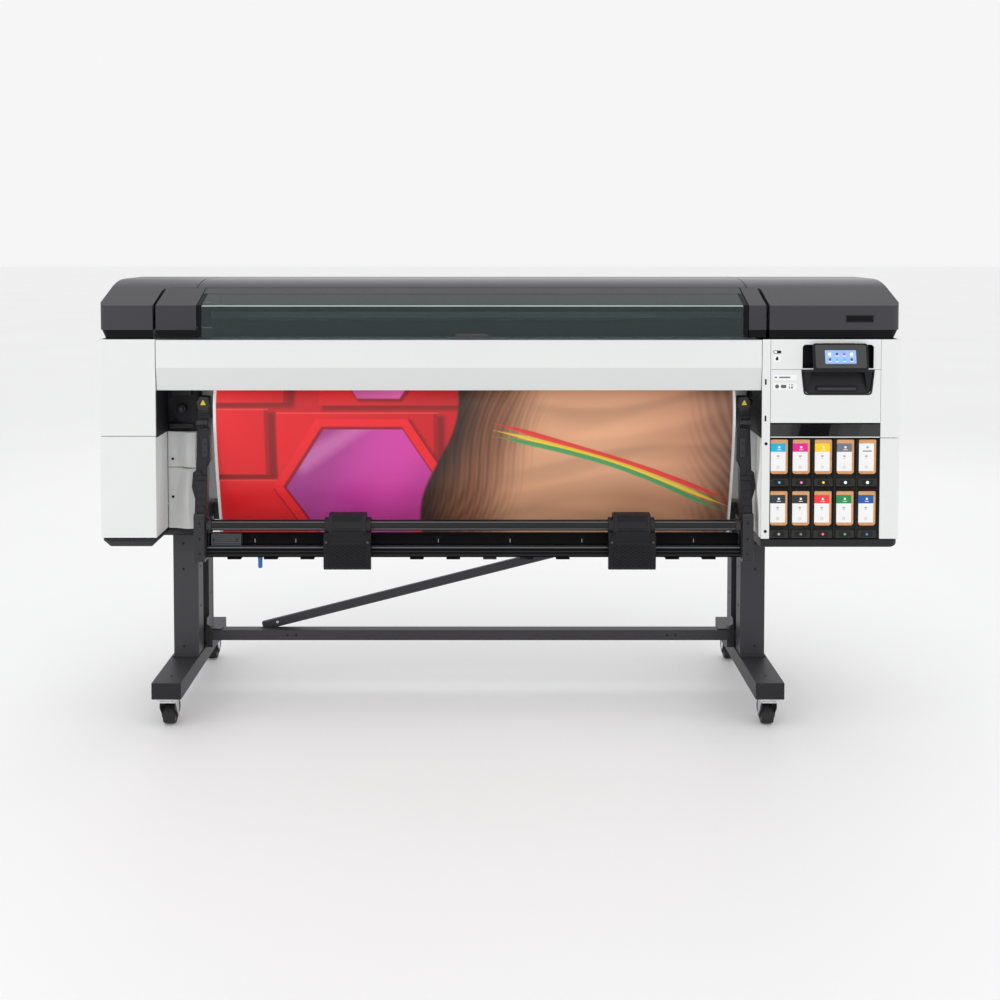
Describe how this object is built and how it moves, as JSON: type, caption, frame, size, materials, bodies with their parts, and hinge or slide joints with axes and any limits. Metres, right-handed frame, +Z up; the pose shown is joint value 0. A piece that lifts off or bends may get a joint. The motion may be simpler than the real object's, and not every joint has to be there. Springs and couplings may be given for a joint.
{
  "type": "wide-format roll printer with built-in cutter",
  "caption": "Wide-format roll-fed printer and cutter on a wheeled stand, with a hinged window, ink bay, touch module and a swinging media collection frame.",
  "frame": {"origin": "on the floor below the middle of the machine's bounding box", "axes": "+X to the operator's right as they face the front, +Y to the rear, +Z up"},
  "size_m": [2.444, 0.667, 1.366],
  "materials": {
    "stand_steel": "satin powder coat",
    "zinc_steel": "zinc plated",
    "caster_black": "matte",
    "wheel_rubber": "matte",
    "black_plastic": "fine grain",
    "white_cover": "satin",
    "grey_panel": "satin",
    "cap_grey": "satin metallic grey",
    "smoked_window": "polished, smoked",
    "chassis_steel": "satin black",
    "roller_rubber": "matte",
    "media_paper": "matt paper",
    "media_print": "satin printed sheet",
    "blue_plastic": "satin",
    "cartridge_case": "kraft board"
  },
  "bodies": {
    "frame": {"foot_left": "stand_steel", "foot_right": "stand_steel", "column_left": "stand_steel", "column_right": "stand_steel", "cross_beam": "stand_steel", "gusset_plates": "stand_steel", "diagonal_brace": "stand_steel", "caster_plates": "zinc_steel", "base_trays": "black_plastic", "left_cover": "white_cover", "left_inner_cover": "white_cover", "right_side_cover": "white_cover", "right_inner_cover": "white_cover", "side_liners": "black_plastic", "right_top_panel": "white_cover", "rear_panels": "grey_panel", "power_inlet": "black_plastic", "ink_bay": "black_plastic", "top_cap_left": "cap_grey", "top_cap_right": "cap_grey", "top_cover": "cap_grey", "window_end_blocks": "cap_grey", "front_beam": "white_cover", "chassis": "chassis_steel", "platen": "black_plastic", "carriage_rails": "chassis_steel", "media_web": "media_print"},
    "caster_front_left": {"caster_fork_front_left": "caster_black"},
    "wheel_front_left": {"caster_wheel_front_left": "wheel_rubber"},
    "caster_front_right": {"caster_fork_front_right": "caster_black"},
    "wheel_front_right": {"caster_wheel_front_right": "wheel_rubber"},
    "caster_rear_left": {"caster_fork_rear_left": "caster_black"},
    "wheel_rear_left": {"caster_wheel_rear_left": "wheel_rubber"},
    "caster_rear_right": {"caster_fork_rear_right": "caster_black"},
    "wheel_rear_right": {"caster_wheel_rear_right": "wheel_rubber"},
    "window_lid": {"window": "smoked_window"},
    "touch_module": {"touch_panel": "black_plastic"},
    "door": {"service_door": "white_cover"},
    "cartridge_a1": {"ink_cartridge_a1": "cartridge_case"},
    "cartridge_a2": {"ink_cartridge_a2": "cartridge_case"},
    "cartridge_a3": {"ink_cartridge_a3": "cartridge_case"},
    "cartridge_a4": {"ink_cartridge_a4": "cartridge_case"},
    "cartridge_a5": {"ink_cartridge_a5": "cartridge_case"},
    "cartridge_b1": {"ink_cartridge_b1": "cartridge_case"},
    "cartridge_b2": {"ink_cartridge_b2": "cartridge_case"},
    "cartridge_b3": {"ink_cartridge_b3": "cartridge_case"},
    "cartridge_b4": {"ink_cartridge_b4": "cartridge_case"},
    "cartridge_b5": {"ink_cartridge_b5": "cartridge_case"},
    "carriage": {"carriage": "black_plastic"},
    "cutter": {"cutter": "black_plastic"},
    "roll": {"media_roll": "media_paper", "roll_spindle": "zinc_steel"},
    "feed": {"feed_roller": "roller_rubber"},
    "pinch": {"pinch_rollers": "zinc_steel"},
    "collection_frame": {"swing_arms": "chassis_steel", "guide_tube": "chassis_steel", "lower_bar": "chassis_steel"},
    "left_grip": {"grip_left": "black_plastic"},
    "right_grip": {"grip_right": "black_plastic"},
    "lever": {"blue_lever": "blue_plastic"}
  },
  "joints": [
    {"name": "swivel_front_left", "type": "hinge", "parent": "frame", "child": "caster_front_left", "pos_m": [-1.0175, -0.292, 0.07], "axis": [0, 0, 1], "continuous": true},
    {"name": "roll_front_left", "type": "hinge", "parent": "caster_front_left", "child": "wheel_front_left", "pos_m": [-1.0175, -0.276, 0.03], "axis": [1, 0, 0], "continuous": true},
    {"name": "swivel_front_right", "type": "hinge", "parent": "frame", "child": "caster_front_right", "pos_m": [0.825, -0.292, 0.07], "axis": [0, 0, 1], "continuous": true},
    {"name": "roll_front_right", "type": "hinge", "parent": "caster_front_right", "child": "wheel_front_right", "pos_m": [0.825, -0.276, 0.03], "axis": [1, 0, 0], "continuous": true},
    {"name": "swivel_rear_left", "type": "hinge", "parent": "frame", "child": "caster_rear_left", "pos_m": [-1.0175, 0.292, 0.07], "axis": [0, 0, 1], "continuous": true},
    {"name": "roll_rear_left", "type": "hinge", "parent": "caster_rear_left", "child": "wheel_rear_left", "pos_m": [-1.0175, 0.308, 0.03], "axis": [1, 0, 0], "continuous": true},
    {"name": "swivel_rear_right", "type": "hinge", "parent": "frame", "child": "caster_rear_right", "pos_m": [0.825, 0.292, 0.07], "axis": [0, 0, 1], "continuous": true},
    {"name": "roll_rear_right", "type": "hinge", "parent": "caster_rear_right", "child": "wheel_rear_right", "pos_m": [0.825, 0.308, 0.03], "axis": [1, 0, 0], "continuous": true},
    {"name": "window_hinge", "type": "hinge", "parent": "frame", "child": "window_lid", "pos_m": [-0.08, -0.156, 1.342], "axis": [-1, 0, 0], "range_deg": [0, 72]},
    {"name": "touch_tilt", "type": "hinge", "parent": "frame", "child": "touch_module", "pos_m": [1.032, -0.2908, 1.181], "axis": [-1, 0, 0], "range_deg": [0, 30]},
    {"name": "door_hinge", "type": "hinge", "parent": "frame", "child": "door", "pos_m": [0.9945, -0.29, 0.9345], "axis": [1, 0, 0], "range_deg": [0, 60]},
    {"name": "slide_cartridge_a1", "type": "slide", "parent": "frame", "child": "cartridge_a1", "axis": [0, -1, 0], "range_m": [0, 0.18]},
    {"name": "slide_cartridge_a2", "type": "slide", "parent": "frame", "child": "cartridge_a2", "axis": [0, -1, 0], "range_m": [0, 0.18]},
    {"name": "slide_cartridge_a3", "type": "slide", "parent": "frame", "child": "cartridge_a3", "axis": [0, -1, 0], "range_m": [0, 0.18]},
    {"name": "slide_cartridge_a4", "type": "slide", "parent": "frame", "child": "cartridge_a4", "axis": [0, -1, 0], "range_m": [0, 0.18]},
    {"name": "slide_cartridge_a5", "type": "slide", "parent": "frame", "child": "cartridge_a5", "axis": [0, -1, 0], "range_m": [0, 0.18]},
    {"name": "slide_cartridge_b1", "type": "slide", "parent": "frame", "child": "cartridge_b1", "axis": [0, -1, 0], "range_m": [0, 0.18]},
    {"name": "slide_cartridge_b2", "type": "slide", "parent": "frame", "child": "cartridge_b2", "axis": [0, -1, 0], "range_m": [0, 0.18]},
    {"name": "slide_cartridge_b3", "type": "slide", "parent": "frame", "child": "cartridge_b3", "axis": [0, -1, 0], "range_m": [0, 0.18]},
    {"name": "slide_cartridge_b4", "type": "slide", "parent": "frame", "child": "cartridge_b4", "axis": [0, -1, 0], "range_m": [0, 0.18]},
    {"name": "slide_cartridge_b5", "type": "slide", "parent": "frame", "child": "cartridge_b5", "axis": [0, -1, 0], "range_m": [0, 0.18]},
    {"name": "carriage_slide", "type": "slide", "parent": "frame", "child": "carriage", "axis": [-1, 0, 0], "range_m": [0, 1.78]},
    {"name": "cutter_slide", "type": "slide", "parent": "frame", "child": "cutter", "axis": [1, 0, 0], "range_m": [0, 1.68]},
    {"name": "roll_spin", "type": "hinge", "parent": "frame", "child": "roll", "pos_m": [-0.08, 0.112, 0.905], "axis": [1, 0, 0], "continuous": true},
    {"name": "feed_spin", "type": "hinge", "parent": "frame", "child": "feed", "pos_m": [-0.08, 0.025, 1.088], "axis": [1, 0, 0], "continuous": true},
    {"name": "pinch_spin", "type": "hinge", "parent": "frame", "child": "pinch", "pos_m": [-0.08, 0.025, 1.1173], "axis": [1, 0, 0], "continuous": true},
    {"name": "collection_swing", "type": "hinge", "parent": "frame", "child": "collection_frame", "pos_m": [-0.08, -0.19, 0.985], "axis": [-1, 0, 0], "range_deg": [0, 35]},
    {"name": "grip_left_slide", "type": "slide", "parent": "collection_frame", "child": "left_grip", "axis": [1, 0, 0], "range_m": [-0.3, 0.3]},
    {"name": "grip_right_slide", "type": "slide", "parent": "collection_frame", "child": "right_grip", "axis": [1, 0, 0], "range_m": [-0.3, 0.24]},
    {"name": "lever_hinge", "type": "hinge", "parent": "collection_frame", "child": "lever", "pos_m": [-0.742, -0.247, 0.5075], "axis": [-1, 0, 0], "range_deg": [0, 50]}
  ],
  "couplings": [
    {"joint": "feed_spin", "follows": "roll_spin", "ratio": 3.1472},
    {"joint": "pinch_spin", "follows": "roll_spin", "ratio": -7.75}
  ]
}
